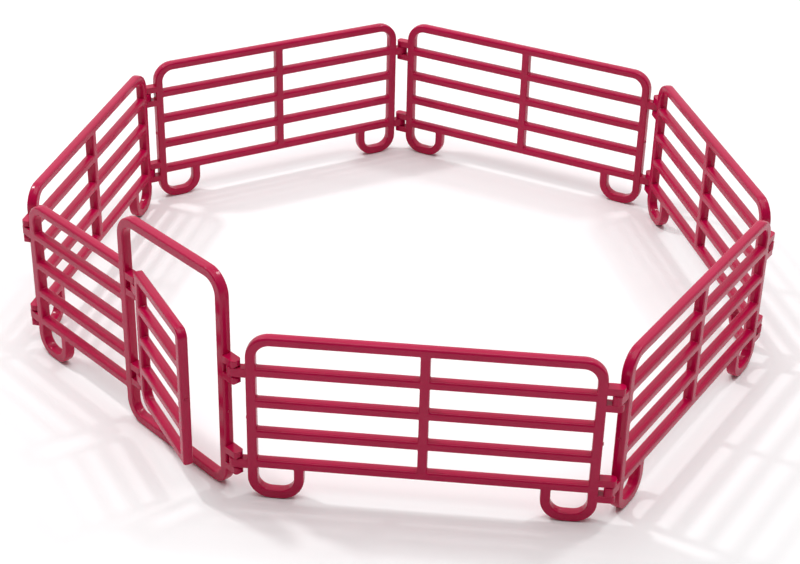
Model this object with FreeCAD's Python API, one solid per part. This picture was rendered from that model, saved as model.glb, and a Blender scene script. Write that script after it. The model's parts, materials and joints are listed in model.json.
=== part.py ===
import FreeCAD, Part

# A toy corral: six identical five-rail panels and one gate section, clipped into a closed ring,
# with a small leaf hung in the gateway. Every section is one plastic moulding. A section is drawn
# in its own upright plane (X along it from its first hinge pivot, Y through it towards the inside
# of the ring, Z up) and then stood in the ring. All sizes are millimetres.
import math
import os

from FreeCAD import Placement, Rotation, Vector

# ---- Driving dimensions --------------------------------------------------------------------

# The ring. All sections are equally long, hinge pivot to hinge pivot. Four of the seven turns are
# free; the gate section and the last two panels then close the ring exactly.
SECTION_PITCH = 153.0
GATE_HEADING = -47.1
FREE_TURNS = (42.1, 63.3, 44.4, 50.4)
PANEL_COUNT = 6

# Levels of the rails: the foot bar lies on the floor, and the rails rise from it in equal steps.
RAIL_PITCH = 14.8
RAIL_COUNT = 5

# Bars of a section. A width is across the bar in the section's plane. One depth, through the
# section, serves all its bars, because both halves of the mould are one flat cut.
BAR_DEPTH = 4.6
POST_WIDTH = 4.3
POST_EDGE = 0.7
RAIL_HEIGHT = 4.3
RAIL_EDGE = 1.2
CENTRE_POST_WIDTH = 4.2

# Bends and feet, on the bars' centre lines.
TOP_BEND_RADIUS = 8.0
FOOT_WIDTH = 19.2
FOOT_BEND_RADIUS = 7.7

# Clip hinges: a tongue at the start of each section snaps between the two lugs at the end of the
# one before, and its pips turn in blind sockets. A reach is measured from the pivot. A lug's end is
# rounded as seen from above, all but a narrow flat, and sloped on the side where the pip snaps in.
PIVOT_TO_POST = 6.7
TONGUE_WIDTH = 4.2
TONGUE_HEIGHT = 4.2
TONGUE_REACH = 3.2
PIP_RADIUS = 1.1
PIP_HEIGHT = 0.9
UPPER_LUG_HEIGHT = 3.3
LOWER_LUG_HEIGHT = 3.2
LUG_REACH = 2.4
LUG_FLAT = 0.8
LUG_LEAD_IN = 0.8
LUG_HEEL = 0.8
HINGE_DROP = 0.6
SLOT_CLEARANCE = 0.15
PIP_CLEARANCE = 0.05
SOCKET_SPARE = 0.15
LOWER_HINGE_RAIL = 1
UPPER_HINGE_RAIL = 4

# Gate section: a short panel, then a gateway whose arch rises above the panel's top rail.
SHORT_PANEL_LENGTH = 72.0
ARCH_RISE = 24.0
GATEWAY_BAR = 4.5
GATEWAY_EDGE = 0.8
ARCH_BEND_RADIUS = 8.5
SILL_BEND_RADIUS = 7.5

# Leaf of the gateway: it reaches across to the far stile, less a clearance, and its lowest and
# highest bars lie a little outside the levels of the panel's rails.
LEAF_PIVOT_TO_STILE = 7.0
LEAF_PIVOT_TO_BAR = 5.6
LEAF_CLEARANCE = 1.6
LEAF_BAR = 4.2
LEAF_EDGE = 1.0
LEAF_OVERHANG = 0.7
LEAF_BAR_COUNT = 5
LEAF_LOWER_BEND_RADIUS = 6.2
LEAF_UPPER_BEND_RADIUS = 2.4
LEAF_OPEN_ANGLE = 15.5

# ---- Values that follow --------------------------------------------------------------------

FOOT_LEVEL = POST_WIDTH / 2
RAIL_LEVELS = [FOOT_LEVEL + RAIL_PITCH * (step + 1) for step in range(RAIL_COUNT)]
TOP_LEVEL = RAIL_LEVELS[-1]
HINGE_LEVELS = [RAIL_LEVELS[rail - 1] - HINGE_DROP for rail in (LOWER_HINGE_RAIL, UPPER_HINGE_RAIL)]
FIRST_POST = PIVOT_TO_POST
LAST_POST = SECTION_PITCH - PIVOT_TO_POST
HINGE_STILE = FIRST_POST + SHORT_PANEL_LENGTH
SILL_LEVEL = GATEWAY_BAR / 2
ARCH_LEVEL = TOP_LEVEL + ARCH_RISE
LEAF_PIVOT = HINGE_STILE + LEAF_PIVOT_TO_STILE
LEAF_REACH = LAST_POST - GATEWAY_BAR / 2 - LEAF_CLEARANCE - LEAF_BAR / 2 - LEAF_PIVOT
LEAF_BOTTOM = RAIL_LEVELS[0] - LEAF_OVERHANG
LEAF_TOP = TOP_LEVEL + LEAF_OVERHANG
LEAF_STEP = (LEAF_TOP - LEAF_BOTTOM) / (LEAF_BAR_COUNT - 1)
LEAF_LEVELS = [LEAF_BOTTOM + LEAF_STEP * step for step in range(LEAF_BAR_COUNT)]
LEAF_HINGE_LEVELS = [LEAF_LEVELS[0] + LEAF_STEP / 2, LEAF_LEVELS[-1] - LEAF_STEP / 2]

ALONG = Vector(1, 0, 0)
THROUGH = Vector(0, 1, 0)
UP = Vector(0, 0, 1)
CORNER_STEP = 90
HALF_CORNER = 45


# ---- Bars and bends ------------------------------------------------------------------------

def rounded_face(centre, across, width, depth, edge):
    """A rounded rectangle at centre: width runs along 'across', depth runs through the panel."""
    half_w = width / 2 - edge
    half_d = depth / 2 - edge
    corners = [(half_w, half_d), (-half_w, half_d), (-half_w, -half_d), (half_w, -half_d)]
    arcs = []
    for number, (a, b) in enumerate(corners):
        points = []
        for turn in (0, HALF_CORNER, CORNER_STEP):
            angle = math.radians(CORNER_STEP * number + turn)
            sideways = across * (a + edge * math.cos(angle))
            points.append(centre + sideways + THROUGH * (b + edge * math.sin(angle)))
        arcs.append(points)
    edges = []
    for number, points in enumerate(arcs):
        following = arcs[(number + 1) % len(arcs)]
        edges.append(Part.Arc(*points).toShape())
        edges.append(Part.LineSegment(points[-1], following[0]).toShape())
    return Part.Face(Part.Wire(edges))


def upright(x, low, high, width, depth, edge):
    """A vertical bar on the line x, from low to high."""
    return rounded_face(Vector(x, 0, low), ALONG, width, depth, edge).extrude(UP * (high - low))


def level_bar(z, start, end, width, depth, edge):
    """A horizontal bar at height z, from start to end."""
    return rounded_face(Vector(start, 0, z), UP, width, depth, edge).extrude(ALONG * (end - start))


def quarter_bend(centre_x, centre_z, radius, side, width, depth, edge, lower=False):
    """A quarter bend about (centre_x, centre_z): side -1 bends at the left, +1 at the right."""
    centre = Vector(centre_x, 0, centre_z)
    face = rounded_face(centre + ALONG * (side * radius), ALONG, width, depth, edge)
    turn = -side * CORNER_STEP if not lower else side * CORNER_STEP
    return face.revolve(centre, THROUGH, turn)


def fused(solids):
    """One solid from pieces that touch face to face."""
    whole = solids[0].fuse(solids[1:])
    return whole.removeSplitter().Solids[0]


# ---- Pieces of a panel ---------------------------------------------------------------------

def top_tube(first, last, bends):
    """The top rail between two posts, with a bend at each end that 'bends' names."""
    size = (POST_WIDTH, BAR_DEPTH, POST_EDGE)
    bend_level = TOP_LEVEL - TOP_BEND_RADIUS
    start = first + TOP_BEND_RADIUS
    end = last - TOP_BEND_RADIUS if "right" in bends else last
    solids = [level_bar(TOP_LEVEL, start, end, *size)]
    solids.append(quarter_bend(start, bend_level, TOP_BEND_RADIUS, -1, *size))
    if "right" in bends:
        solids.append(quarter_bend(end, bend_level, TOP_BEND_RADIUS, 1, *size))
    return solids


def end_posts(places):
    """The straight part of each end post, between its foot bend and its top bend."""
    low = FOOT_LEVEL + FOOT_BEND_RADIUS
    high = TOP_LEVEL - TOP_BEND_RADIUS
    return [upright(x, low, high, POST_WIDTH, BAR_DEPTH, POST_EDGE) for x in places]


def foot_loop(post, inward):
    """The D-shaped foot: the post's bar bends under and comes back up to the lowest rail."""
    size = (POST_WIDTH, BAR_DEPTH, POST_EDGE)
    bend_level = FOOT_LEVEL + FOOT_BEND_RADIUS
    riser = post + inward * FOOT_WIDTH
    under_post = post + inward * FOOT_BEND_RADIUS
    under_riser = riser - inward * FOOT_BEND_RADIUS
    rail_underside = RAIL_LEVELS[0] - RAIL_HEIGHT / 2
    outer = quarter_bend(under_post, bend_level, FOOT_BEND_RADIUS, -inward, *size, lower=True)
    flat = level_bar(FOOT_LEVEL, min(under_post, under_riser), max(under_post, under_riser), *size)
    inner = quarter_bend(under_riser, bend_level, FOOT_BEND_RADIUS, inward, *size, lower=True)
    leg = upright(riser, bend_level, rail_underside, *size)
    return fused([outer, flat, inner, leg])


def lower_rails(spans):
    """The four rails below the top tube, in each span between two uprights."""
    solids = []
    for level in RAIL_LEVELS[:-1]:
        for start, end in spans:
            solids.append(level_bar(level, start, end, RAIL_HEIGHT, BAR_DEPTH, RAIL_EDGE))
    return solids


def centre_post(x):
    low = RAIL_LEVELS[0] - RAIL_HEIGHT / 2
    high = TOP_LEVEL - POST_WIDTH / 2
    return [upright(x, low, high, CENTRE_POST_WIDTH, BAR_DEPTH, POST_EDGE)]


# ---- Clip hinges ---------------------------------------------------------------------------

def tongue(pivot, post_face, level):
    """A round-ended tongue with a pip above and below, from a post's face to just past the pivot."""
    half = TONGUE_WIDTH / 2
    low = level - TONGUE_HEIGHT / 2
    tip = Vector(pivot - TONGUE_REACH, 0, low)
    outline = [Vector(post_face, -half, low), Vector(tip.x + half, -half, low)]
    outline_end = [Vector(tip.x + half, half, low), Vector(post_face, half, low)]
    edges = [Part.LineSegment(outline[0], outline[1]).toShape()]
    edges.append(Part.Arc(outline[1], tip, outline_end[0]).toShape())
    edges.append(Part.LineSegment(outline_end[0], outline_end[1]).toShape())
    edges.append(Part.LineSegment(outline_end[1], outline[0]).toShape())
    blade = Part.Face(Part.Wire(edges)).extrude(UP * TONGUE_HEIGHT)
    pip_start = Vector(pivot, 0, low - PIP_HEIGHT)
    pip = Part.makeCylinder(PIP_RADIUS, TONGUE_HEIGHT + 2 * PIP_HEIGHT, pip_start)
    return blade.fuse(pip).removeSplitter().Solids[0]


def lug_plan(post_face, tip, half, low):
    """The plan of a lug: straight sides, then a round corner on each side of the narrow flat."""
    radius = half - LUG_FLAT / 2
    corner = tip - radius
    middle = radius * math.sin(math.pi / 4)
    near = [Vector(corner, -half, low), Vector(corner + middle, radius - half - middle, low)]
    near.append(Vector(tip, radius - half, low))
    far = [Vector(point.x, -point.y, low) for point in reversed(near)]
    edges = [Part.LineSegment(Vector(post_face, -half, low), near[0]).toShape()]
    edges.append(Part.Arc(*near).toShape())
    edges.append(Part.LineSegment(near[-1], far[0]).toShape())
    edges.append(Part.Arc(*far).toShape())
    edges.append(Part.LineSegment(far[-1], Vector(post_face, half, low)).toShape())
    edges.append(Part.LineSegment(Vector(post_face, half, low), Vector(post_face, -half, low)).toShape())
    return Part.Face(Part.Wire(edges))


def lug(pivot, post_face, low, high, depth, socket_up, heel):
    """One lug of a fork, with a blind socket and a lead-in slope on the tongue's side."""
    half = depth / 2
    tip = pivot + LUG_REACH
    block = lug_plan(post_face, tip, half, low).extrude(UP * (high - low))
    inner = low if socket_up else high
    slope = LUG_LEAD_IN if socket_up else -LUG_LEAD_IN
    wedge = [Vector(tip - LUG_LEAD_IN, -half, inner), Vector(tip, -half, inner)]
    wedge.append(Vector(tip, -half, inner + slope))
    block = block.cut(Part.Face(Part.makePolygon(wedge + wedge[:1])).extrude(THROUGH * depth))
    if heel:
        corner = Part.makeBox(heel, depth, heel, Vector(tip - heel, -half, low))
        centre = Vector(tip - heel, -half, low + heel)
        block = block.cut(corner.cut(Part.makeCylinder(heel, depth, centre, THROUGH)))
    socket_depth = PIP_HEIGHT + SOCKET_SPARE
    socket_low = low if socket_up else high - socket_depth
    socket = Part.makeCylinder(PIP_RADIUS + PIP_CLEARANCE, socket_depth, Vector(pivot, 0, socket_low))
    return block.cut(socket).Solids[0]


def fork(pivot, post_face, level, depth):
    """The two lugs that hold one tongue."""
    slot_top = level + TONGUE_HEIGHT / 2 + SLOT_CLEARANCE
    slot_bottom = level - TONGUE_HEIGHT / 2 - SLOT_CLEARANCE
    upper = lug(pivot, post_face, slot_top, slot_top + UPPER_LUG_HEIGHT, depth, True, 0)
    lower = lug(pivot, post_face, slot_bottom - LOWER_LUG_HEIGHT, slot_bottom, depth, False, LUG_HEEL)
    return [upper, lower]


def start_tongues():
    return [tongue(0, FIRST_POST - POST_WIDTH / 2, level) for level in HINGE_LEVELS]


def end_forks(post_face):
    solids = []
    for level in HINGE_LEVELS:
        solids += fork(SECTION_PITCH, post_face, level, BAR_DEPTH)
    return solids


# ---- Whole sections ------------------------------------------------------------------------

def panel_pieces():
    """The pieces of one plain panel, by name, in the section's own plane."""
    middle = SECTION_PITCH / 2
    left_span = (FIRST_POST + POST_WIDTH / 2, middle - CENTRE_POST_WIDTH / 2)
    right_span = (middle + CENTRE_POST_WIDTH / 2, LAST_POST - POST_WIDTH / 2)
    return {
        "top_tube": top_tube(FIRST_POST, LAST_POST, ("left", "right")),
        "end_posts": end_posts((FIRST_POST, LAST_POST)),
        "rails": lower_rails((left_span, right_span)),
        "centre_post": centre_post(middle),
        "feet": [foot_loop(FIRST_POST, 1), foot_loop(LAST_POST, -1)],
        "tongues": start_tongues(),
        "forks": end_forks(LAST_POST + POST_WIDTH / 2),
    }


def short_panel_pieces():
    """The fixed fence beside the gateway: like a panel, but it ends at the gateway's hinge stile."""
    stile_face = HINGE_STILE - GATEWAY_BAR / 2
    return {
        "short_panel_top_tube": top_tube(FIRST_POST, stile_face, ("left",)),
        "short_panel_end_post": end_posts((FIRST_POST,)),
        "short_panel_rails": lower_rails([(FIRST_POST + POST_WIDTH / 2, stile_face)]),
        "short_panel_foot": [foot_loop(FIRST_POST, 1)],
        "short_panel_tongues": start_tongues(),
    }


def gateway_end(level, radius, lower):
    """One end of the gateway's hoop: a level bar with a quarter bend at each side."""
    size = (GATEWAY_BAR, BAR_DEPTH, GATEWAY_EDGE)
    start = HINGE_STILE + radius
    end = LAST_POST - radius
    bend_level = level + radius if lower else level - radius
    return [
        quarter_bend(start, bend_level, radius, -1, *size, lower=lower),
        level_bar(level, start, end, *size),
        quarter_bend(end, bend_level, radius, 1, *size, lower=lower),
    ]


def gateway_pieces():
    """The gateway: two stiles, an arched top, a sill, and the forks on both stiles."""
    low = SILL_LEVEL + SILL_BEND_RADIUS
    high = ARCH_LEVEL - ARCH_BEND_RADIUS
    size = (GATEWAY_BAR, BAR_DEPTH, GATEWAY_EDGE)
    leaf_forks = []
    for level in LEAF_HINGE_LEVELS:
        leaf_forks += fork(LEAF_PIVOT, HINGE_STILE + GATEWAY_BAR / 2, level, LEAF_BAR)
    return {
        "gateway_hinge_stile": [upright(HINGE_STILE, low, high, *size)],
        "gateway_far_stile": [upright(LAST_POST, low, high, *size)],
        "gateway_arch_top": gateway_end(ARCH_LEVEL, ARCH_BEND_RADIUS, False),
        "gateway_sill": gateway_end(SILL_LEVEL, SILL_BEND_RADIUS, True),
        "gateway_forks": end_forks(LAST_POST + GATEWAY_BAR / 2),
        "gateway_leaf_forks": leaf_forks,
    }


def leaf_pieces():
    """The leaf, closed, from its own pivot: two corners are bent and the other two are square."""
    size = (LEAF_BAR, LEAF_BAR, LEAF_EDGE)
    half = LEAF_BAR / 2
    hinge_side = LEAF_PIVOT_TO_BAR
    free_side = LEAF_REACH
    wide = LEAF_LOWER_BEND_RADIUS
    tight = LEAF_UPPER_BEND_RADIUS
    bend_low = LEAF_BOTTOM + wide
    bend_high = LEAF_TOP - tight
    hinge_stile = [
        upright(hinge_side, bend_low, LEAF_TOP + half, *size),
        quarter_bend(hinge_side + wide, bend_low, wide, -1, *size, lower=True),
    ]
    free_stile = [
        upright(free_side, LEAF_BOTTOM - half, bend_high, *size),
        quarter_bend(free_side - tight, bend_high, tight, 1, *size),
    ]
    bars = [level_bar(LEAF_BOTTOM, hinge_side + wide, free_side - half, *size)]
    for level in LEAF_LEVELS[1:-1]:
        bars.append(level_bar(level, hinge_side + half, free_side - half, *size))
    bars.append(level_bar(LEAF_TOP, hinge_side + half, free_side - tight, *size))
    tongues = [tongue(0, hinge_side - half, level) for level in LEAF_HINGE_LEVELS]
    return {
        "leaf_hinge_stile": hinge_stile,
        "leaf_free_stile": free_stile,
        "leaf_bars": bars,
        "leaf_tongues": tongues,
    }


# ---- The ring ------------------------------------------------------------------------------

def step_from(point, heading):
    """The pivot one section further along a heading in degrees."""
    angle = math.radians(heading)
    return point + Vector(math.cos(angle), math.sin(angle), 0) * SECTION_PITCH


def heading_of(start, end):
    return math.degrees(math.atan2(end.y - start.y, end.x - start.x))


def ring_layout():
    """(pivot, heading) of the gate section and then of each panel, anticlockwise round the ring."""
    gate_start = Vector(0, 0, 0)
    places = [(gate_start, GATE_HEADING)]
    pivot = step_from(gate_start, GATE_HEADING)
    heading = GATE_HEADING
    for turn in FREE_TURNS:
        heading += turn
        places.append((pivot, heading))
        pivot = step_from(pivot, heading)
    gap = gate_start - pivot
    height = math.sqrt(SECTION_PITCH ** 2 - (gap.Length / 2) ** 2)
    outward = Vector(gap.y, -gap.x, 0).normalize()
    apex = pivot + gap / 2 + outward * height
    places.append((pivot, heading_of(pivot, apex)))
    places.append((apex, heading_of(apex, gate_start)))
    return places


def stand(solids, pivot, heading):
    """Solids from a section's own plane, stood on a pivot and turned to a heading."""
    placement = Placement(pivot, Rotation(UP, heading))
    moved = []
    for solid in solids:
        copy = solid.copy()
        copy.Placement = placement.multiply(copy.Placement)
        moved.append(copy)
    return moved


def main():
    places = ring_layout()
    nodes = {}
    gate_start, gate_heading = places[0]
    for name, solids in {**short_panel_pieces(), **gateway_pieces()}.items():
        nodes[name] = stand(solids, gate_start, gate_heading)
    panel = panel_pieces()
    for number in range(1, PANEL_COUNT + 1):
        pivot, heading = places[number]
        for name, solids in panel.items():
            nodes["panel_%d_%s" % (number, name)] = stand(solids, pivot, heading)
    leaf_pivot = Placement(gate_start, Rotation(UP, gate_heading)).multVec(ALONG * LEAF_PIVOT)
    for name, solids in leaf_pieces().items():
        nodes[name] = stand(solids, leaf_pivot, gate_heading - LEAF_OPEN_ANGLE)

    # The origin is on the floor, in the middle of the rectangle that the ring covers.
    whole = Part.makeCompound([solid for solids in nodes.values() for solid in solids])
    box = whole.optimalBoundingBox(False)
    to_origin = Vector(-box.Center.x, -box.Center.y, -box.ZMin)

    os.makedirs("parts", exist_ok=True)
    for name, solids in nodes.items():
        shape = Part.makeCompound(solids) if len(solids) > 1 else solids[0].copy()
        shape.translate(to_origin)
        shape.exportStep("parts/%s.step" % name)
    size = [round(length, 2) for length in (box.XLength, box.YLength, box.ZLength)]
    print("nodes", len(nodes), "size", *size)
    for number, (pivot, heading) in enumerate(places):
        at = pivot + to_origin
        print("section", number, "pivot", round(at.x, 4), round(at.y, 4), "heading", round(heading, 4))
    at = leaf_pivot + to_origin
    leaf_heading = gate_heading - LEAF_OPEN_ANGLE
    print("leaf pivot", round(at.x, 4), round(at.y, 4), "heading", round(leaf_heading, 4))


main()
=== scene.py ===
# %% [markdown]
# # A toy corral in crimson plastic
#
# The real object is a ring of little livestock panels for toy animals. Six five-rail panels and
# one section with a gateway are clipped end to end, and a small leaf hangs in the gateway. Each
# of these eight parts came out of a steel mould as one piece of crimson plastic.
#
# The engineering model is already there, as a fixed frame of plain bars. This lesson puts a
# moulded skin over that frame. Every bar of a part flows into the next one with a small fillet,
# the edges are rounded the way a mould cutter leaves them, and a fine line shows where the two
# halves of the mould met. The frame is loaded first, because every size and place below is read
# from it.

# %% Load the frame
import json
import math

import bmesh
import bpy
from mathutils import Matrix, Vector
from mathutils.geometry import tessellate_polygon


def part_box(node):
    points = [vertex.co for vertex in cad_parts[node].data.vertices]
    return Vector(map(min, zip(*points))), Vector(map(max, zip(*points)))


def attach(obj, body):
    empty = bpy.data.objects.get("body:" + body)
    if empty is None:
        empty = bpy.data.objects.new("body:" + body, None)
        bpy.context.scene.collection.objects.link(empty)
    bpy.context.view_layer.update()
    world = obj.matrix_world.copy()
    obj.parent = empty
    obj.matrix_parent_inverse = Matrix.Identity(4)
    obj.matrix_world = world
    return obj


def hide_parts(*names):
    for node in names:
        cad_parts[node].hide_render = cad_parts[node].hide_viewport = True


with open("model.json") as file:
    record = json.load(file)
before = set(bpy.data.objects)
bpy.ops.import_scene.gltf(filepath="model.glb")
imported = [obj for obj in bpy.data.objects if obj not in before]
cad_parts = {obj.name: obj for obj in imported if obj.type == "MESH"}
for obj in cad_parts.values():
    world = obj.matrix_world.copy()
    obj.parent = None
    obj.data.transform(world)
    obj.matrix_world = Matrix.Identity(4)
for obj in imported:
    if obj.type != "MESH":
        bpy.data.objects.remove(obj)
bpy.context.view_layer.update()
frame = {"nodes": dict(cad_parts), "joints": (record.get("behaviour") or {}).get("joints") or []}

MM = 0.001
nodes = frame["nodes"]

# %% [markdown]
# ## Where each part stands
#
# A part of the ring is flat, so it is easiest to draw in its own upright plane: X along the part
# from its first hinge pin, Y through it, and Z up. One matrix then stands the drawing in the
# ring. The matrix needs a starting point and a direction, and both are in the frame already. The
# hinges of the frame give the pins, and the middle of a panel's centre post lies halfway between
# its two pins. So even the pin that carries no hinge of its own can be worked out, without typing
# in an angle.

# %% Stand each part on its hinge pins
PANELS = range(1, 7)
HUNG_AT_START = (1, 2, 3)
pins = {joint["name"]: Vector(joint["pos_m"]) for joint in frame["joints"]}


def middle_on_floor(node):
    low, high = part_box(node)
    centre = (low + high) / 2
    return Vector((centre.x, centre.y, 0))


def stood_at(start, towards):
    """The matrix from a part's own plane to its place in the ring."""
    along = (towards - start).normalized()
    up = Vector((0, 0, 1))
    through = up.cross(along)
    turn = Matrix((along, through, up)).transposed()
    return Matrix.Translation(start) @ turn.to_4x4()


place = {
    "gate_section": stood_at(pins["panel_6_clip"], pins["panel_1_clip"]),
    "gate_leaf": stood_at(pins["leaf_swing"], middle_on_floor("leaf_free_stile")),
}
for number in PANELS:
    body = f"panel_{number}"
    halfway = middle_on_floor(f"{body}_centre_post")
    pin = pins[f"{body}_clip"]
    # Panels 1 to 3 hang from the pin at their start, and panels 4 to 6 from the pin at their end.
    start = pin if number in HUNG_AT_START else 2 * halfway - pin
    place[body] = stood_at(start, halfway)
print("parts stood:", sorted(place))

# %% [markdown]
# ## Measuring the bars
#
# A node of the frame can hold several bars, such as the eight rails of a panel. Looking at the
# corner points of a node along one axis, they come in bunches: one bunch for each bar. Sorting
# the numbers and cutting the list wherever there is a wide gap gives the lower and upper side of
# every bar. That is all the drawing needs, and it follows the frame if a size in it ever changes.

# %% Read the sides of the bars
ALONG, THROUGH, UP = 0, 1, 2
BAR_GAP = 3.5 * MM
TOP_BAND = 0.1 * MM


def own_points(node, body):
    """The corner points of a node in the plane of its part."""
    back = place[body].inverted()
    return [back @ vertex.co for vertex in nodes[node].data.vertices]


def sides(values):
    """(lower, upper) of each bunch of numbers."""
    values = sorted(values)
    cuts = [k for k in range(1, len(values)) if values[k] - values[k - 1] > BAR_GAP]
    starts = [0] + cuts
    ends = cuts + [len(values)]
    return [(values[a], values[b - 1]) for a, b in zip(starts, ends)]


def bar_sides(node, body, axis):
    return sides([point[axis] for point in own_points(node, body)])


def riser_sides(node, body):
    """The sides of the short upright legs of the feet, read where they meet the lowest rail."""
    points = own_points(node, body)
    top = max(point[UP] for point in points)
    return sides([point[ALONG] for point in points if top - point[UP] < TOP_BAND])


print("rails of a panel, mm:")
for low, high in bar_sides("panel_1_rails", "panel_1", UP):
    print("   from", round(low / MM, 2), "to", round(high / MM, 2))

# %% [markdown]
# ## Drawing an outline
#
# Seen from the front, a part is one flat shape with holes. Its outline is a closed walk from
# corner to corner, and every corner is an arc: a wide one where a tube seems bent, a tiny one
# where two bars meet, since a cutter can't leave a sharp inside corner. Walking with the plastic
# always on the left keeps one rule for everything. The outer walk goes round to the left and each
# hole goes round to the right, and 'left' always points into the plastic.
#
# Each corner also says how strongly the edge of the side after it is rounded. The rails are
# rounded more than the posts, and the rounding changes gently along the arc between them.

# %% Turn corners into points
STEP_OF_ARC = math.radians(9)
FEWEST_STEPS = 3
SMALL_ARC = 1 * MM


def left_of(direction):
    return Vector((-direction.y, direction.x))


def drawn_outline(corners):
    """Points of a closed walk. A corner is (x, z, radius of its arc, edge rounding after it).

    Each point remembers its arc, its corner and its edge rounding. The radius is negative at a
    hollow corner."""
    points = []
    total = len(corners)
    for k, (x, z, radius, edge) in enumerate(corners):
        here = Vector((x, z))
        before = Vector(corners[k - 1][:2])
        after = Vector(corners[(k + 1) % total][:2])
        way_in = (here - before).normalized()
        way_out = (after - here).normalized()
        turn = math.atan2(way_in.x * way_out.y - way_in.y * way_out.x, way_in.dot(way_out))
        side = 1 if turn > 0 else -1
        start = here - way_in * radius * math.tan(abs(turn) / 2)
        normal_in = left_of(way_in)
        normal_out = left_of(way_out)
        centre = start + normal_in * radius * side
        last_edge = corners[k - 1][3]
        steps = max(FEWEST_STEPS, round(abs(turn) / STEP_OF_ARC))
        if radius < SMALL_ARC:
            steps = FEWEST_STEPS
        for step in range(steps + 1):
            share = step / steps
            smooth = share * share * (3 - 2 * share)
            points.append({
                "centre": centre,
                "corner": here,
                "normals": (normal_in, normal_out),
                "normal": Matrix.Rotation(turn * share, 2) @ normal_in,
                "radius": radius * side,
                "edge": last_edge + (edge - last_edge) * smooth,
            })
    return points


def moved_in(point, depth):
    """Where an outline point lies on the outline drawn 'depth' further into the plastic."""
    if point["radius"] > 0 and depth > point["radius"]:
        first, second = point["normals"]
        return point["corner"] + (first + second) * depth / (1 + first.dot(second))
    return point["centre"] - point["normal"] * (point["radius"] - depth)


square = drawn_outline([(0, 0, 2, 1), (10, 0, 2, 1), (10, 10, 2, 1), (0, 10, 2, 1)])
print("a test square with round corners has", len(square), "points; first normal",
      [round(value, 2) for value in square[0]["normal"]])

# %% [markdown]
# ## From outline to moulding
#
# A part like this could be made from swept tubes joined with Booleans, but the joints would be
# hard lines, while a real moulding has none. It could also be carved as voxels, which gives soft
# joints and a million tiny faces. The part is really one thick outline, so it is built as one.
# The outline is repeated as rings, from the middle of the thickness out to the front and to the
# back. The ring in the middle stands a hair proud: that is the parting line, where the two halves
# of the mould met. The next rings lean in slightly, which is the draft that lets the part leave
# the mould, and the last ones walk round the rounded edge. The flat face is then filled between
# the innermost rings.

# %% Build a moulding from its outline
PARTING_HALF = 0.08 * MM
PARTING_RISE = 0.05 * MM
DRAFT = 0.05 * MM
EDGE_STEPS = 5
WELD = 1e-7
NO_LENGTH = 1e-8


def mould_profile(half_depth, edge):
    """(distance from the middle, depth into the plastic) of each ring, out to the flat face."""
    side = PARTING_RISE + DRAFT
    flat_end = half_depth - edge
    rings = [(PARTING_HALF, 0.0), (2 * PARTING_HALF, PARTING_RISE), (flat_end, side)]
    for step in range(1, EDGE_STEPS + 1):
        angle = math.radians(90) * step / EDGE_STEPS
        rings.append((flat_end + edge * math.sin(angle), side + edge * (1 - math.cos(angle))))
    return rings


def ring_wall(mesh, walk, half_depth):
    """The rings of one outline, joined into a wall. Returns its last ring, back and front."""
    columns = []
    for point in walk:
        rings = mould_profile(half_depth, point["edge"])
        stack = [(-y, depth) for y, depth in reversed(rings)] + rings
        column = []
        for y, depth in stack:
            flat = moved_in(point, depth)
            column.append(mesh.verts.new((flat.x, y, flat.y)))
        columns.append(column)
    for k, column in enumerate(columns):
        last = columns[k - 1]
        for low in range(len(column) - 1):
            mesh.faces.new((last[low], column[low], column[low + 1], last[low + 1]))
    return [column[0] for column in columns], [column[-1] for column in columns]


def fill_face(mesh, rings):
    """The flat face between the innermost rings of the outline and of its holes."""
    loops = []
    corners = []
    for ring in rings:
        loop = []
        for k, corner in enumerate(ring):
            if (corner.co - ring[k - 1].co).length > WELD:
                loop.append(corner)
        loops.append([Vector((corner.co.x, corner.co.z, 0)) for corner in loop])
        corners += loop
    for a, b, c in tessellate_polygon(loops):
        mesh.faces.new((corners[a], corners[b], corners[c]))


def open_edge_count(mesh):
    return sum(1 for edge in mesh.edges if len(edge.link_faces) != 2)


def moulding_mesh(name, outer, holes, depth):
    """One moulded part, in its own plane, from its outline and its thickness."""
    mesh = bmesh.new()
    walls = [ring_wall(mesh, drawn_outline(walk), depth / 2) for walk in [outer] + holes]
    for face in (0, 1):
        fill_face(mesh, [wall[face] for wall in walls])
    bmesh.ops.remove_doubles(mesh, verts=mesh.verts, dist=WELD)
    bmesh.ops.dissolve_degenerate(mesh, edges=mesh.edges, dist=NO_LENGTH)
    bmesh.ops.recalc_face_normals(mesh, faces=mesh.faces)
    data = bpy.data.meshes.new(name)
    mesh.to_mesh(data)
    print(name, "faces", len(data.polygons), "open edges", open_edge_count(mesh),
          "volume mm3", round(mesh.calc_volume() / MM ** 3))
    mesh.free()
    return data


print("a wall is made of", 2 * len(mould_profile(2 * MM, 1 * MM)), "rings")

# %% [markdown]
# ## The plain panel
#
# The outline of a panel starts at its left foot. It runs under the foot, up its short leg, along
# the underside of the lowest rail, round the right foot, up the end post and back along the top
# tube. The holes are the two feet and the eight gaps between the rails. All the numbers are sides
# of bars that were read from the frame, so only the small shop-floor radii are chosen here.

# %% Outline of the plain panel
FILLET = 0.3 * MM
POST_ROUNDING = 0.7 * MM
RAIL_ROUNDING = 1.2 * MM
RAIL_UNDERSIDE = 1.0 * MM


def gap_between(left, right, low, high, top_left=FILLET, top_right=FILLET):
    """A gap between rails, walked clockwise: its floor is the rounded top of the rail below it."""
    return [
        (left, high, top_left, RAIL_UNDERSIDE),
        (right, high, top_right, POST_ROUNDING),
        (right, low, FILLET, RAIL_ROUNDING),
        (left, low, FILLET, POST_ROUNDING),
    ]


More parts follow.
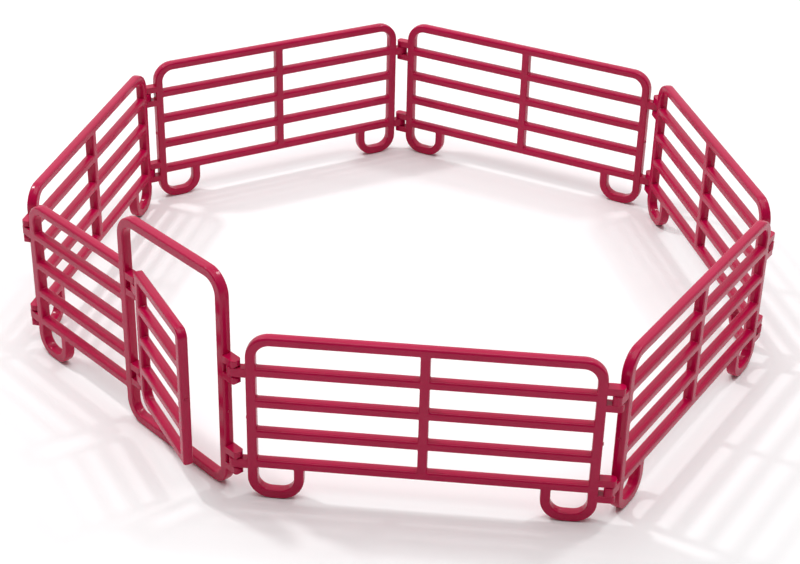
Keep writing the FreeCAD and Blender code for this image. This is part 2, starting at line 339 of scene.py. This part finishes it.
def foot_hole(left, right, bar, rail, bend):
    """The D-shaped hole of a foot, walked clockwise."""
    return [
        (left, rail, FILLET, RAIL_UNDERSIDE),
        (right, rail, FILLET, POST_ROUNDING),
        (right, bar, bend, POST_ROUNDING),
        (left, bar, bend, POST_ROUNDING),
    ]


def panel_outline(body):
    posts = bar_sides(f"{body}_end_posts", body, ALONG)
    risers = riser_sides(f"{body}_feet", body)
    centre = bar_sides(f"{body}_centre_post", body, ALONG)[0]
    rails = bar_sides(f"{body}_rails", body, UP)
    straight = bar_sides(f"{body}_end_posts", body, UP)
    top = max(point[UP] for point in own_points(f"{body}_top_tube", body))
    tube = posts[0][1] - posts[0][0]
    foot_bend = straight[0][0]
    top_bend = top - straight[-1][1]
    left, right = posts[0][0], posts[1][1]
    under = rails[0][0]
    outer = [
        (left, 0, foot_bend, POST_ROUNDING),
        (risers[0][1], 0, foot_bend, POST_ROUNDING),
        (risers[0][1], under, FILLET, RAIL_UNDERSIDE),
        (risers[1][0], under, FILLET, POST_ROUNDING),
        (risers[1][0], 0, foot_bend, POST_ROUNDING),
        (right, 0, foot_bend, POST_ROUNDING),
        (right, top, top_bend, RAIL_ROUNDING),
        (left, top, top_bend, POST_ROUNDING),
    ]
    bend = foot_bend - tube
    holes = [
        foot_hole(posts[0][1], risers[0][0], tube, under, bend),
        foot_hole(risers[1][1], posts[1][0], tube, under, bend),
    ]
    ceilings = [low for low, high in rails[1:]] + [top - tube]
    for (low, high), ceiling in zip(rails, ceilings):
        bent = top_bend - tube if ceiling == ceilings[-1] else FILLET
        holes.append(gap_between(posts[0][1], centre[0], high, ceiling, top_left=bent))
        holes.append(gap_between(centre[1], posts[1][0], high, ceiling, top_right=bent))
    return outer, holes


def depth_of(node, body):
    points = own_points(node, body)
    return max(point[THROUGH] for point in points) - min(point[THROUGH] for point in points)


panel_depth = depth_of("panel_1_end_posts", "panel_1")
panel_mesh = moulding_mesh("panel_moulding", *panel_outline("panel_1"), panel_depth)

# %% [markdown]
# ## The section with the gateway
#
# This part is one moulding too: a short panel with a single foot, and beside it a hoop that rises
# well above the fence. The outline is drawn in the same way. The hinge stile of the hoop takes
# the place of the short panel's second post, and the sill lies on the floor.

# %% Outline of the gateway section
HOOP_ROUNDING = 0.8 * MM


def gate_section_outline():
    body = "gate_section"
    post = bar_sides("short_panel_end_post", body, ALONG)[0]
    straight = bar_sides("short_panel_end_post", body, UP)
    riser = riser_sides("short_panel_foot", body)[0]
    rails = bar_sides("short_panel_rails", body, UP)
    hinge = bar_sides("gateway_hinge_stile", body, ALONG)[0]
    far = bar_sides("gateway_far_stile", body, ALONG)[0]
    stile = bar_sides("gateway_far_stile", body, UP)
    top = max(point[UP] for point in own_points("short_panel_top_tube", body))
    arch = max(point[UP] for point in own_points("gateway_arch_top", body))
    tube = post[1] - post[0]
    bar = far[1] - far[0]
    foot_bend = straight[0][0]
    top_bend = top - straight[-1][1]
    sill_bend = stile[0][0]
    arch_bend = arch - stile[-1][1]
    under = rails[0][0]
    outer = [
        (post[0], 0, foot_bend, POST_ROUNDING),
        (riser[1], 0, foot_bend, POST_ROUNDING),
        (riser[1], under, FILLET, RAIL_UNDERSIDE),
        (hinge[0], under, FILLET, HOOP_ROUNDING),
        (hinge[0], 0, sill_bend, HOOP_ROUNDING),
        (far[1], 0, sill_bend, HOOP_ROUNDING),
        (far[1], arch, arch_bend, HOOP_ROUNDING),
        (hinge[0], arch, arch_bend, HOOP_ROUNDING),
        (hinge[0], top, FILLET, RAIL_ROUNDING),
        (post[0], top, top_bend, POST_ROUNDING),
    ]
    holes = [foot_hole(post[1], riser[0], tube, under, foot_bend - tube)]
    ceilings = [low for low, high in rails[1:]] + [top - tube]
    for (low, high), ceiling in zip(rails, ceilings):
        bent = top_bend - tube if ceiling == ceilings[-1] else FILLET
        holes.append(gap_between(post[1], hinge[0], high, ceiling, top_left=bent))
    holes.append([
        (hinge[1], arch - bar, arch_bend - bar, HOOP_ROUNDING),
        (far[0], arch - bar, arch_bend - bar, HOOP_ROUNDING),
        (far[0], bar, sill_bend - bar, HOOP_ROUNDING),
        (hinge[1], bar, sill_bend - bar, HOOP_ROUNDING),
    ])
    return outer, holes


gate_depth = depth_of("gateway_far_stile", "gate_section")
gate_mesh = moulding_mesh("gate_section_moulding", *gate_section_outline(), gate_depth)

# %% [markdown]
# ## The leaf
#
# The leaf is a small gate of five bars. Its lower hinge corner is a wide bend, its upper free
# corner a tight one, and the other two are square. So its frame reads as two bent rods. Its
# slimmer bars make it look lighter than the hoop that it hangs in.

# %% Outline of the leaf
LEAF_ROUNDING = 0.9 * MM
LEAF_CORNER = 0.6 * MM


def leaf_outline():
    body = "gate_leaf"
    hinge_points = own_points("leaf_hinge_stile", body)
    free_points = own_points("leaf_free_stile", body)
    hinge_side = min(point[ALONG] for point in hinge_points)
    free_side = max(point[ALONG] for point in free_points)
    bottom = min(point[UP] for point in free_points)
    top = max(point[UP] for point in hinge_points)
    bars = bar_sides("leaf_bars", body, UP)
    bar = bars[1][1] - bars[1][0]
    wide = max(point[ALONG] for point in hinge_points) - hinge_side
    tight = free_side - min(point[ALONG] for point in free_points)
    outer = [
        (hinge_side, bottom, wide, LEAF_ROUNDING),
        (free_side, bottom, LEAF_CORNER, LEAF_ROUNDING),
        (free_side, top, tight, LEAF_ROUNDING),
        (hinge_side, top, LEAF_CORNER, LEAF_ROUNDING),
    ]
    holes = []
    left, right = hinge_side + bar, free_side - bar
    for lower, upper in zip(bars, bars[1:]):
        low_left = wide - bar if lower == bars[0] else FILLET
        top_right = tight - bar if upper == bars[-1] else FILLET
        holes.append([
            (left, upper[0], FILLET, LEAF_ROUNDING),
            (right, upper[0], top_right, LEAF_ROUNDING),
            (right, lower[1], FILLET, LEAF_ROUNDING),
            (left, lower[1], low_left, LEAF_ROUNDING),
        ])
    return outer, holes


leaf_depth = depth_of("leaf_bars", "gate_leaf")
leaf_mesh = moulding_mesh("leaf_moulding", *leaf_outline(), leaf_depth)

# %% [markdown]
# ## The clips
#
# The parts snap together with forks and tongues. A fork is two lugs on the end of a part, one
# above the other, and the tongue of the next part turns between them on two pips. A lug has one
# shape from above, with a round end, and another from the side, with a slope where the pip snaps
# in and a round heel on the lower lug. Drawing each shape once, extruding both and keeping only
# what they share is the quickest way to a solid with two outlines, and it is what a Boolean
# intersection does. A second Boolean sinks the blind socket of the pip.

# %% Solids with two outlines
SOFT_ANGLE = math.radians(25)
BEVEL_STEPS = 3
CIRCLE_STEPS = 24


def add_copy(target, source):
    """Adds one mesh under construction to another."""
    between = bpy.data.meshes.new("between")
    source.to_mesh(between)
    source.free()
    target.from_mesh(between)
    bpy.data.meshes.remove(between)


def round_sharp_edges(mesh, radius):
    mesh.normal_update()
    sharp = [edge for edge in mesh.edges if edge.calc_face_angle(0) > SOFT_ANGLE]
    bmesh.ops.bevel(mesh, geom=sharp, offset=radius, segments=BEVEL_STEPS, profile=0.5,
                    affect="EDGES", clamp_overlap=True)


def extruded(points, travel):
    """A closed solid from the points of one flat face, pushed along a vector."""
    mesh = bmesh.new()
    face = mesh.faces.new([mesh.verts.new(point) for point in points])
    grown = bmesh.ops.extrude_face_region(mesh, geom=[face])["geom"]
    moved = [item for item in grown if isinstance(item, bmesh.types.BMVert)]
    bmesh.ops.translate(mesh, verts=moved, vec=travel)
    bmesh.ops.recalc_face_normals(mesh, faces=mesh.faces)
    return mesh


def boolean(first, second, operation):
    """The Boolean of two solids under construction, made by a modifier on a passing object."""
    held = []
    for solid in (first, second):
        data = bpy.data.meshes.new("passing")
        solid.to_mesh(data)
        solid.free()
        held.append(bpy.data.objects.new("passing", data))
        bpy.context.scene.collection.objects.link(held[-1])
    cut = held[0].modifiers.new("cut", "BOOLEAN")
    cut.operation = operation
    cut.solver = "EXACT"
    cut.object = held[1]
    ready = held[0].evaluated_get(bpy.context.evaluated_depsgraph_get())
    result = bmesh.new()
    result.from_mesh(ready.to_mesh())
    ready.to_mesh_clear()
    for passing in held:
        data = passing.data
        bpy.data.objects.remove(passing)
        bpy.data.meshes.remove(data)
    bmesh.ops.remove_doubles(result, verts=result.verts, dist=WELD)
    return result


def arc(centre, radius, start, end, steps=8):
    """Points along an arc in a plane, from one angle to another, in degrees."""
    angles = [math.radians(start + (end - start) * k / steps) for k in range(steps + 1)]
    return [(centre[0] + radius * math.cos(a), centre[1] + radius * math.sin(a)) for a in angles]


def circle(centre, radius):
    return arc(centre, radius, 0, 360, CIRCLE_STEPS)[:-1]


print("an arc of 90 degrees in", len(arc((0, 0), 1, 0, 90)), "points")
print("a whole circle in", len(circle((0, 0), 1)), "points")

# %% [markdown]
# ## The lugs
#
# Two lugs face each other across the tongue. The round end seen from above lets the next part
# swing past, and the slopes that face each other guide the pips in when the parts are pressed
# together. A lug is pushed a little way into its post, and it is a hair thinner than the post, so
# that its face runs into the post's face with no line between them.

# %% Lugs of the forks
LUG_SUNK = 1.4 * MM
LUG_THINNER = 0.04 * MM
LUG_FLAT = 0.8 * MM
LUG_LEAD_IN = 0.8 * MM
LUG_HEEL = 0.8 * MM
LUG_ROUNDING = 0.3 * MM
SOCKET_RADIUS = 1.15 * MM
SOCKET_DEPTH = 1.05 * MM


def lug_from_above(face, tip, half_depth):
    radius = half_depth - LUG_FLAT / 2
    plan = [(face - LUG_SUNK, -half_depth)]
    plan += arc((tip - radius, radius - half_depth), radius, -90, 0)
    plan += arc((tip - radius, half_depth - radius), radius, 0, 90)
    return plan + [(face - LUG_SUNK, half_depth)]


def lug_from_side(face, tip, low, high, is_lower):
    """The lower lug slopes at its top, the upper lug at its underside: they face each other."""
    start = face - LUG_SUNK
    if is_lower:
        heel = arc((tip - LUG_HEEL, low + LUG_HEEL), LUG_HEEL, -90, 0)
        lead_in = [(tip, high - LUG_LEAD_IN), (tip - LUG_LEAD_IN, high)]
        return [(start, low)] + heel + lead_in + [(start, high)]
    lead_in = [(tip - LUG_LEAD_IN, low), (tip, low + LUG_LEAD_IN)]
    return [(start, low)] + lead_in + [(tip, high), (start, high)]


def add_lug(whole, face, tip, low, high, half_depth, pivot, is_lower):
    plan = [(x, y, low) for x, y in lug_from_above(face, tip, half_depth)]
    upright = extruded(plan, (0, 0, high - low))
    side = [(x, -2 * half_depth, z) for x, z in lug_from_side(face, tip, low, high, is_lower)]
    across = extruded(side, (0, 4 * half_depth, 0))
    lug = boolean(upright, across, "INTERSECT")
    round_sharp_edges(lug, LUG_ROUNDING)
    # The plug that cuts the socket starts as far outside the mouth as it ends inside.
    mouth = high if is_lower else low
    way = -1 if is_lower else 1
    rim = [(x, y, mouth - way * SOCKET_DEPTH) for x, y in circle((pivot, 0), SOCKET_RADIUS)]
    plug = extruded(rim, (0, 0, way * 2 * SOCKET_DEPTH))
    add_copy(whole, boolean(lug, plug, "DIFFERENCE"))


def fork_mesh(name, node, body, face, pivot):
    """All the lugs of one node. The face is where the post's side is."""
    tip = max(point[ALONG] for point in own_points(node, body))
    half_depth = depth_of(node, body) / 2 - LUG_THINNER / 2
    whole = bmesh.new()
    lugs = bar_sides(node, body, UP)
    for number, (low, high) in enumerate(lugs):
        add_lug(whole, face, tip, low, high, half_depth, pivot, is_lower=number % 2 == 0)
    data = bpy.data.meshes.new(name)
    whole.to_mesh(data)
    print(name, "lugs", len(lugs), "faces", len(data.polygons),
          "open edges", open_edge_count(whole))
    whole.free()
    return data


def pin_along(joint, body):
    """How far along its part a hinge pin stands."""
    return (place[body].inverted() @ pins[joint]).x


panel_face = bar_sides("panel_1_end_posts", "panel_1", ALONG)[1][1]
stile_face = bar_sides("gateway_far_stile", "gate_section", ALONG)[0][1]
hinge_face = bar_sides("gateway_hinge_stile", "gate_section", ALONG)[0][1]
panel_fork_mesh = fork_mesh("panel_clip_forks", "panel_1_forks", "panel_1", panel_face,
                            pin_along("panel_2_clip", "panel_1"))
gate_fork_mesh = fork_mesh("gateway_clip_forks", "gateway_forks", "gate_section", stile_face,
                           pin_along("panel_1_clip", "gate_section"))
leaf_fork_mesh = fork_mesh("gateway_leaf_forks", "gateway_leaf_forks", "gate_section", hinge_face,
                           pin_along("leaf_swing", "gate_section"))

# %% [markdown]
# ## The tongues
#
# A tongue is a flat finger with a round end, so that it can turn between its lugs. Its plan is
# drawn, extruded upwards and rounded. A pip is turned like wood on a lathe: a short list of radii
# and heights goes once round its axis.

# %% Tongues with their pips
TONGUE_SUNK = 0.8 * MM
TONGUE_ROUNDING = 0.3 * MM
PIP_RADIUS = 1.1 * MM
PIP_ROUNDING = 0.35 * MM
PIP_STEPS = 3


def add_turned(whole, profile):
    """A body turned about the hinge pin, from its (radius, height) profile."""
    rings = []
    for radius, height in profile:
        rings.append([whole.verts.new((x, y, height)) for x, y in circle((0, 0), radius)])
    for lower, upper in zip(rings, rings[1:]):
        for k in range(CIRCLE_STEPS):
            whole.faces.new((lower[k - 1], lower[k], upper[k], upper[k - 1]))
    whole.faces.new(rings[0])
    whole.faces.new(rings[-1])


def add_tongue(whole, face, tip, blade_low, blade_high, pip_low, pip_high, half_width):
    plan = [(face + TONGUE_SUNK, -half_width), (face + TONGUE_SUNK, half_width)]
    plan += arc((tip + half_width, 0), half_width, 90, 270, CIRCLE_STEPS // 2)
    mesh = extruded([(x, y, blade_low) for x, y in plan], (0, 0, blade_high - blade_low))
    round_sharp_edges(mesh, TONGUE_ROUNDING)
    add_copy(whole, mesh)
    for start, end in ((blade_low, pip_low), (blade_high, pip_high)):
        way = 1 if end > start else -1
        profile = [(PIP_RADIUS, start - way * TONGUE_ROUNDING),
                   (PIP_RADIUS, end - way * PIP_ROUNDING)]
        for step in range(1, PIP_STEPS + 1):
            angle = math.radians(90) * step / PIP_STEPS
            profile.append((PIP_RADIUS - PIP_ROUNDING * (1 - math.cos(angle)),
                            end - way * PIP_ROUNDING * (1 - math.sin(angle))))
        pip = bmesh.new()
        add_turned(pip, profile)
        bmesh.ops.recalc_face_normals(pip, faces=pip.faces)
        add_copy(whole, pip)


def tongue_mesh(name, node, body):
    points = own_points(node, body)
    face = max(point[ALONG] for point in points)
    tip = min(point[ALONG] for point in points)
    half_width = depth_of(node, body) / 2
    ends = bar_sides(node, body, UP)
    whole = bmesh.new()
    for lower, upper in zip(ends[::2], ends[1::2]):
        add_tongue(whole, face, tip, lower[1], upper[0], lower[0], upper[1], half_width)
    data = bpy.data.meshes.new(name)
    whole.to_mesh(data)
    whole.free()
    print(name, "tongues", len(ends) // 2, "faces", len(data.polygons))
    return data


panel_tongue_mesh = tongue_mesh("panel_tongues", "panel_1_tongues", "panel_1")
short_tongue_mesh = tongue_mesh("short_panel_tongues", "short_panel_tongues", "gate_section")
leaf_tongue_mesh = tongue_mesh("leaf_tongues", "leaf_tongues", "gate_leaf")

# %% [markdown]
# ## Runner scars
#
# Plastic reaches the mould through thin runners. When a part is twisted off its runners, each
# leaves a low, slightly sunken stub. The panels have one on the outer side of each end post,
# between the clips, and the leaf has one on its free side. A stub is so small that a turned shape
# sunk into the post is enough, but without it the posts look drawn, not moulded.

# %% Runner scars
SCAR_RADIUS = 0.8 * MM
SCAR_PROUD = 0.28 * MM
SCAR_SUNK = 0.5 * MM
# The stub from its side to its hollow middle, as shares of its radius and of its height.
SCAR_SHAPE = ((1.0, 0.4), (0.8, 1.0), (0.56, 0.9), (0.28, 0.3))


def add_scar(whole, face, way, height):
    """A stub on the side of a post. The side is at 'face' and looks along X, 'way' 1 or -1."""
    profile = [(SCAR_RADIUS, -SCAR_SUNK)]
    profile += [(SCAR_RADIUS * wide, SCAR_PROUD * tall) for wide, tall in SCAR_SHAPE]
    stub = bmesh.new()
    add_turned(stub, profile)
    bmesh.ops.recalc_face_normals(stub, faces=stub.faces)
    lie_down = Matrix.Rotation(math.radians(90) * way, 4, "Y")
    stub.transform(Matrix.Translation((face, 0, height)) @ lie_down)
    add_copy(whole, stub)


def scar_mesh(name, *spots):
    whole = bmesh.new()
    for spot in spots:
        add_scar(whole, *spot)
    data = bpy.data.meshes.new(name)
    whole.to_mesh(data)
    whole.free()
    print(name, "stubs", len(spots))
    return data


def between_clips(node, body):
    clips = bar_sides(node, body, UP)
    return (clips[0][0] + clips[-1][1]) / 2


scar_level = between_clips("panel_1_tongues", "panel_1")
post_sides = bar_sides("panel_1_end_posts", "panel_1", ALONG)
panel_scar_mesh = scar_mesh("panel_scars", (post_sides[0][0], -1, scar_level),
                            (post_sides[1][1], 1, scar_level))
short_post_side = bar_sides("short_panel_end_post", "gate_section", ALONG)[0][0]
gate_scar_mesh = scar_mesh("gate_scars", (short_post_side, -1, scar_level),
                           (stile_face, 1, scar_level))
free_side = max(point[ALONG] for point in own_points("leaf_free_stile", "gate_leaf"))
leaf_level = between_clips("leaf_tongues", "gate_leaf")
leaf_scar_mesh = scar_mesh("leaf_scar", (free_side, 1, leaf_level))

# %% [markdown]
# ## Crimson plastic
#
# The colour is not paint: the pigment goes all the way through the plastic. So the colour hardly
# changes from place to place, and what tells the eye that it is plastic is the gloss. Three
# things break the gloss up. The polished mould leaves faint cloudy patches of roughness. The fine
# grain of the steel leaves a very shallow texture. And the plastic cools with slow waves in it,
# which bend the reflections along a bar.

# %% Material of the mouldings
PLASTIC_IOR = 1.49
SHINE = 0.27
PIGMENT_DRIFT = {"Scale": 26.0, "Detail": 3.0, "Roughness": 0.55}
DARK_AT, MIDDLE_AT, LIGHT_AT = 0.32, 0.5, 0.68
CLOUDY_GLOSS = {"Scale": 180.0, "Detail": 4.0, "Roughness": 0.6}
GLOSS_FROM = (0.3, 0.7)
GLOSS_SPREAD = (-0.04, 0.06)
COOLING_WAVES = {"Scale": 95.0, "Detail": 1.0, "Roughness": 0.4}
WAVE_BUMP = {"Strength": 0.10, "Distance": 0.35 * MM}
STEEL_GRAIN = {"Scale": 2600.0, "Detail": 2.0, "Roughness": 0.5}
GRAIN_BUMP = {"Strength": 0.06, "Distance": 0.04 * MM}


def new_node(tree, kind, inputs):
    made = tree.nodes.new(kind)
    for name, value in inputs.items():
        made.inputs[name].default_value = value
    return made


def noise_on(tree, spot, inputs):
    """A noise in the object's own coordinates. Returns its grey output."""
    noise = new_node(tree, "ShaderNodeTexNoise", inputs)
    tree.links.new(spot.outputs["Object"], noise.inputs["Vector"])
    return noise.outputs["Fac"]


def crimson_plastic(name, colour, dark, light, roughness):
    """Moulded plastic: pigment, cloudy gloss, mould grain and slow waves."""
    material = bpy.data.materials.new(name)
    material.use_nodes = True
    tree = material.node_tree
    shader = tree.nodes["Principled BSDF"]
    shader.inputs["IOR"].default_value = PLASTIC_IOR
    shader.inputs["Specular IOR Level"].default_value = SHINE
    spot = tree.nodes.new("ShaderNodeTexCoord")

    pigment = tree.nodes.new("ShaderNodeValToRGB")
    stops = pigment.color_ramp.elements
    stops[0].position, stops[0].color = DARK_AT, (*dark, 1)
    stops[1].position, stops[1].color = LIGHT_AT, (*light, 1)
    stops.new(MIDDLE_AT).color = (*colour, 1)
    tree.links.new(noise_on(tree, spot, PIGMENT_DRIFT), pigment.inputs["Fac"])
    tree.links.new(pigment.outputs["Color"], shader.inputs["Base Color"])

    gloss = new_node(tree, "ShaderNodeMapRange", {
        "From Min": GLOSS_FROM[0],
        "From Max": GLOSS_FROM[1],
        "To Min": roughness + GLOSS_SPREAD[0],
        "To Max": roughness + GLOSS_SPREAD[1],
    })
    tree.links.new(noise_on(tree, spot, CLOUDY_GLOSS), gloss.inputs["Value"])
    tree.links.new(gloss.outputs["Result"], shader.inputs["Roughness"])

    waves = new_node(tree, "ShaderNodeBump", WAVE_BUMP)
    tree.links.new(noise_on(tree, spot, COOLING_WAVES), waves.inputs["Height"])
    grain = new_node(tree, "ShaderNodeBump", GRAIN_BUMP)
    tree.links.new(noise_on(tree, spot, STEEL_GRAIN), grain.inputs["Height"])
    tree.links.new(waves.outputs["Normal"], grain.inputs["Normal"])
    tree.links.new(grain.outputs["Normal"], shader.inputs["Normal"])
    return material


def shade(red, green, blue):
    """A colour as seen on a screen, from 0 to 255, made linear for the shader."""
    def linear(value):
        value = value / 255
        return value / 12.92 if value <= 0.04045 else ((value + 0.055) / 1.055) ** 2.4
    return (linear(red), linear(green), linear(blue))


plastic = crimson_plastic("crimson plastic", shade(180, 8, 66), shade(176, 6, 63),
                          shade(185, 10, 70), roughness=0.20)
print("crimson plastic:", len(plastic.node_tree.nodes), "nodes")

# %% [markdown]
# ## Putting the parts in place
#
# The six panels are identical, so they come from one drawing, as the real ones come from one
# mould. Each copy is stood on its pins and rides on its own body of the frame, and it takes the
# place of the plain bars that it covers. A weighted-normal modifier keeps the flat faces flat:
# without it the shading of a rounded edge would creep across them.

# %% Stand the mouldings in the ring
PANEL_BARS = ("top_tube", "end_posts", "rails", "centre_post", "feet")
GATE_BARS = (
    "short_panel_top_tube", "short_panel_end_post", "short_panel_rails", "short_panel_foot",
    "gateway_hinge_stile", "gateway_far_stile", "gateway_arch_top", "gateway_sill",
)
LEAF_BARS = ("leaf_hinge_stile", "leaf_free_stile", "leaf_bars")
SHARP_ANGLE = math.radians(40)
FACE_WEIGHT = 80


def stand_piece(name, drawing, body, *covered):
    """A piece from its drawing, stood in its place in the ring."""
    mesh = drawing.copy()
    mesh.name = name
    mesh.transform(place[body])
    mesh.materials.append(plastic)
    mesh.shade_smooth()
    mesh.set_sharp_from_angle(angle=SHARP_ANGLE)
    piece = bpy.data.objects.new(name, mesh)
    bpy.context.scene.collection.objects.link(piece)
    weighted = piece.modifiers.new("flat faces stay flat", "WEIGHTED_NORMAL")
    weighted.keep_sharp = True
    weighted.weight = FACE_WEIGHT
    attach(piece, body)
    if covered:
        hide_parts(*covered)


for number in PANELS:
    body = f"panel_{number}"
    stand_piece(f"{body}_moulding", panel_mesh, body, *[f"{body}_{bar}" for bar in PANEL_BARS])
    stand_piece(f"{body}_clip_forks", panel_fork_mesh, body, f"{body}_forks")
    stand_piece(f"{body}_clip_tongues", panel_tongue_mesh, body, f"{body}_tongues")
    stand_piece(f"{body}_runner_scars", panel_scar_mesh, body)
stand_piece("gate_section_moulding", gate_mesh, "gate_section", *GATE_BARS)
stand_piece("gate_section_clip_forks", gate_fork_mesh, "gate_section", "gateway_forks")
stand_piece("gate_section_leaf_forks", leaf_fork_mesh, "gate_section", "gateway_leaf_forks")
stand_piece("gate_section_clip_tongues", short_tongue_mesh, "gate_section", "short_panel_tongues")
stand_piece("leaf_moulding", leaf_mesh, "gate_leaf", *LEAF_BARS)
stand_piece("leaf_clip_tongues", leaf_tongue_mesh, "gate_leaf", "leaf_tongues")
stand_piece("gate_section_runner_scars", gate_scar_mesh, "gate_section")
stand_piece("leaf_runner_scar", leaf_scar_mesh, "gate_leaf")

# %% [markdown]
# ## Floor
#
# The toy stands on a pale seamless sheet. A flat grid is all it takes, but a sheet that runs far
# past the ring hides its own edge, and a faint change of tone keeps it from looking like a
# cut-out.

# %% Floor
FLOOR_HALF = 6.0
FLOOR_SQUARES = 8
FLOOR_ROUGHNESS = 0.6
FLOOR_SHINE = 0.25
FLOOR_TONES = ((0.91, 0.91, 0.92, 1), (0.95, 0.95, 0.95, 1))
FLOOR_DRIFT = {"Scale": 3.0, "Detail": 2.0}


def pale_floor():
    material = bpy.data.materials.new("pale sheet")
    material.use_nodes = True
    tree = material.node_tree
    shader = tree.nodes["Principled BSDF"]
    shader.inputs["Roughness"].default_value = FLOOR_ROUGHNESS
    shader.inputs["Specular IOR Level"].default_value = FLOOR_SHINE
    spot = tree.nodes.new("ShaderNodeTexCoord")
    ramp = tree.nodes.new("ShaderNodeValToRGB")
    for stop, tone in zip(ramp.color_ramp.elements, FLOOR_TONES):
        stop.color = tone
    tree.links.new(noise_on(tree, spot, FLOOR_DRIFT), ramp.inputs["Fac"])
    tree.links.new(ramp.outputs["Color"], shader.inputs["Base Color"])
    return material


sheet = bmesh.new()
bmesh.ops.create_grid(sheet, x_segments=FLOOR_SQUARES, y_segments=FLOOR_SQUARES, size=FLOOR_HALF)
floor_mesh = bpy.data.meshes.new("floor")
sheet.to_mesh(floor_mesh)
sheet.free()
floor = bpy.data.objects.new("floor", floor_mesh)
floor.data.materials.append(pale_floor())
bpy.context.scene.collection.objects.link(floor)
print("floor", 2 * FLOOR_HALF, "m square")

# %% [markdown]
# ## Lamps
#
# Small lamps give crisp shadows, large ones give soft shadows. The two lamps behind the ring are
# the size of a saucer, so the shadows of the rails stay just readable as stripes. The one
# overhead is more than two metres wide, and fills them.

# %% Lamps
LAMP_AIM = Vector((0, 0, 0.03))
# Each lamp: its name, where it hangs in metres, its width in metres and its power in watts.
LAMPS = (
    ("left lamp", (-0.73, 0.32, 1.16), 0.12, 5.0),
    ("right lamp", (0.62, 0.36, 1.20), 0.15, 2.9),
    ("overhead lamp", (0.0, -0.45, 2.6), 2.6, 37.0),
)


def hang_lamp(name, spot, width, power):
    light = bpy.data.lights.new(name, "AREA")
    light.shape = "DISK"
    light.size = width
    light.energy = power
    holder = bpy.data.objects.new(name, light)
    holder.location = spot
    holder.rotation_euler = (LAMP_AIM - Vector(spot)).to_track_quat("-Z", "Y").to_euler()
    bpy.context.scene.collection.objects.link(holder)


for name, spot, width, power in LAMPS:
    hang_lamp(name, spot, width, power)
    print(name, "hangs", round((Vector(spot) - LAMP_AIM).length, 2), "m away")

# %% [markdown]
# ## Room
#
# The room is brighter behind the ring than in front of it. That difference is what shades the
# bars: their tops and backs see the bright half and their fronts see the dim half, so every rail
# shows two tones. A background that depends on the direction alone does it, with no walls to
# build.

# %% Room
DIM_UP_TO, BRIGHT_FROM = -0.55, 0.75
DIM, BRIGHT = 0.10, 0.95


def pale_room():
    room = bpy.data.worlds.new("pale room")
    room.use_nodes = True
    tree = room.node_tree
    direction = tree.nodes.new("ShaderNodeTexCoord")
    split = tree.nodes.new("ShaderNodeSeparateXYZ")
    strength = new_node(tree, "ShaderNodeMapRange", {
        "From Min": DIM_UP_TO,
        "From Max": BRIGHT_FROM,
        "To Min": DIM,
        "To Max": BRIGHT,
    })
    tree.links.new(direction.outputs["Generated"], split.inputs["Vector"])
    tree.links.new(split.outputs["Y"], strength.inputs["Value"])
    tree.links.new(strength.outputs["Result"], tree.nodes["Background"].inputs["Strength"])
    tree.nodes["Background"].inputs["Color"].default_value = (1.0, 1.0, 1.0, 1)
    return room


bpy.context.scene.world = pale_room()
print("the room behind the ring is", round(BRIGHT / DIM, 1), "times as bright as in front")

# %% [markdown]
# ## Camera
#
# The camera stands in front of the ring, a little above it, and looks down at thirty degrees. A
# long lens keeps the far panels nearly as large as the near ones.

# %% Camera
LOOK_DOWN = math.radians(30.13)
LOOK_ASIDE = math.radians(0.04)
TILT = math.radians(1.44)
STAND = (0.0015, -0.7473, 0.4437)
SENSOR_WIDTH = 36.0
FOCAL_LENGTH = 78.86
NEAREST, FARTHEST = 0.05, 50

lens = bpy.data.cameras.new("camera")
lens.sensor_width = SENSOR_WIDTH
lens.lens = FOCAL_LENGTH
lens.clip_start = NEAREST
lens.clip_end = FARTHEST
camera = bpy.data.objects.new("camera", lens)
camera.matrix_world = (
    Matrix.Translation(STAND)
    @ Matrix.Rotation(LOOK_ASIDE, 4, "Z")
    @ Matrix.Rotation(math.radians(90) - LOOK_DOWN, 4, "X")
    @ Matrix.Rotation(TILT, 4, "Z")
)
bpy.context.scene.collection.objects.link(camera)
bpy.context.scene.camera = camera
bpy.context.scene.view_settings.view_transform = "Standard"
bpy.context.scene.view_settings.look = "None"
print("camera", round(Vector(STAND).length, 2), "m from the middle of the ring")
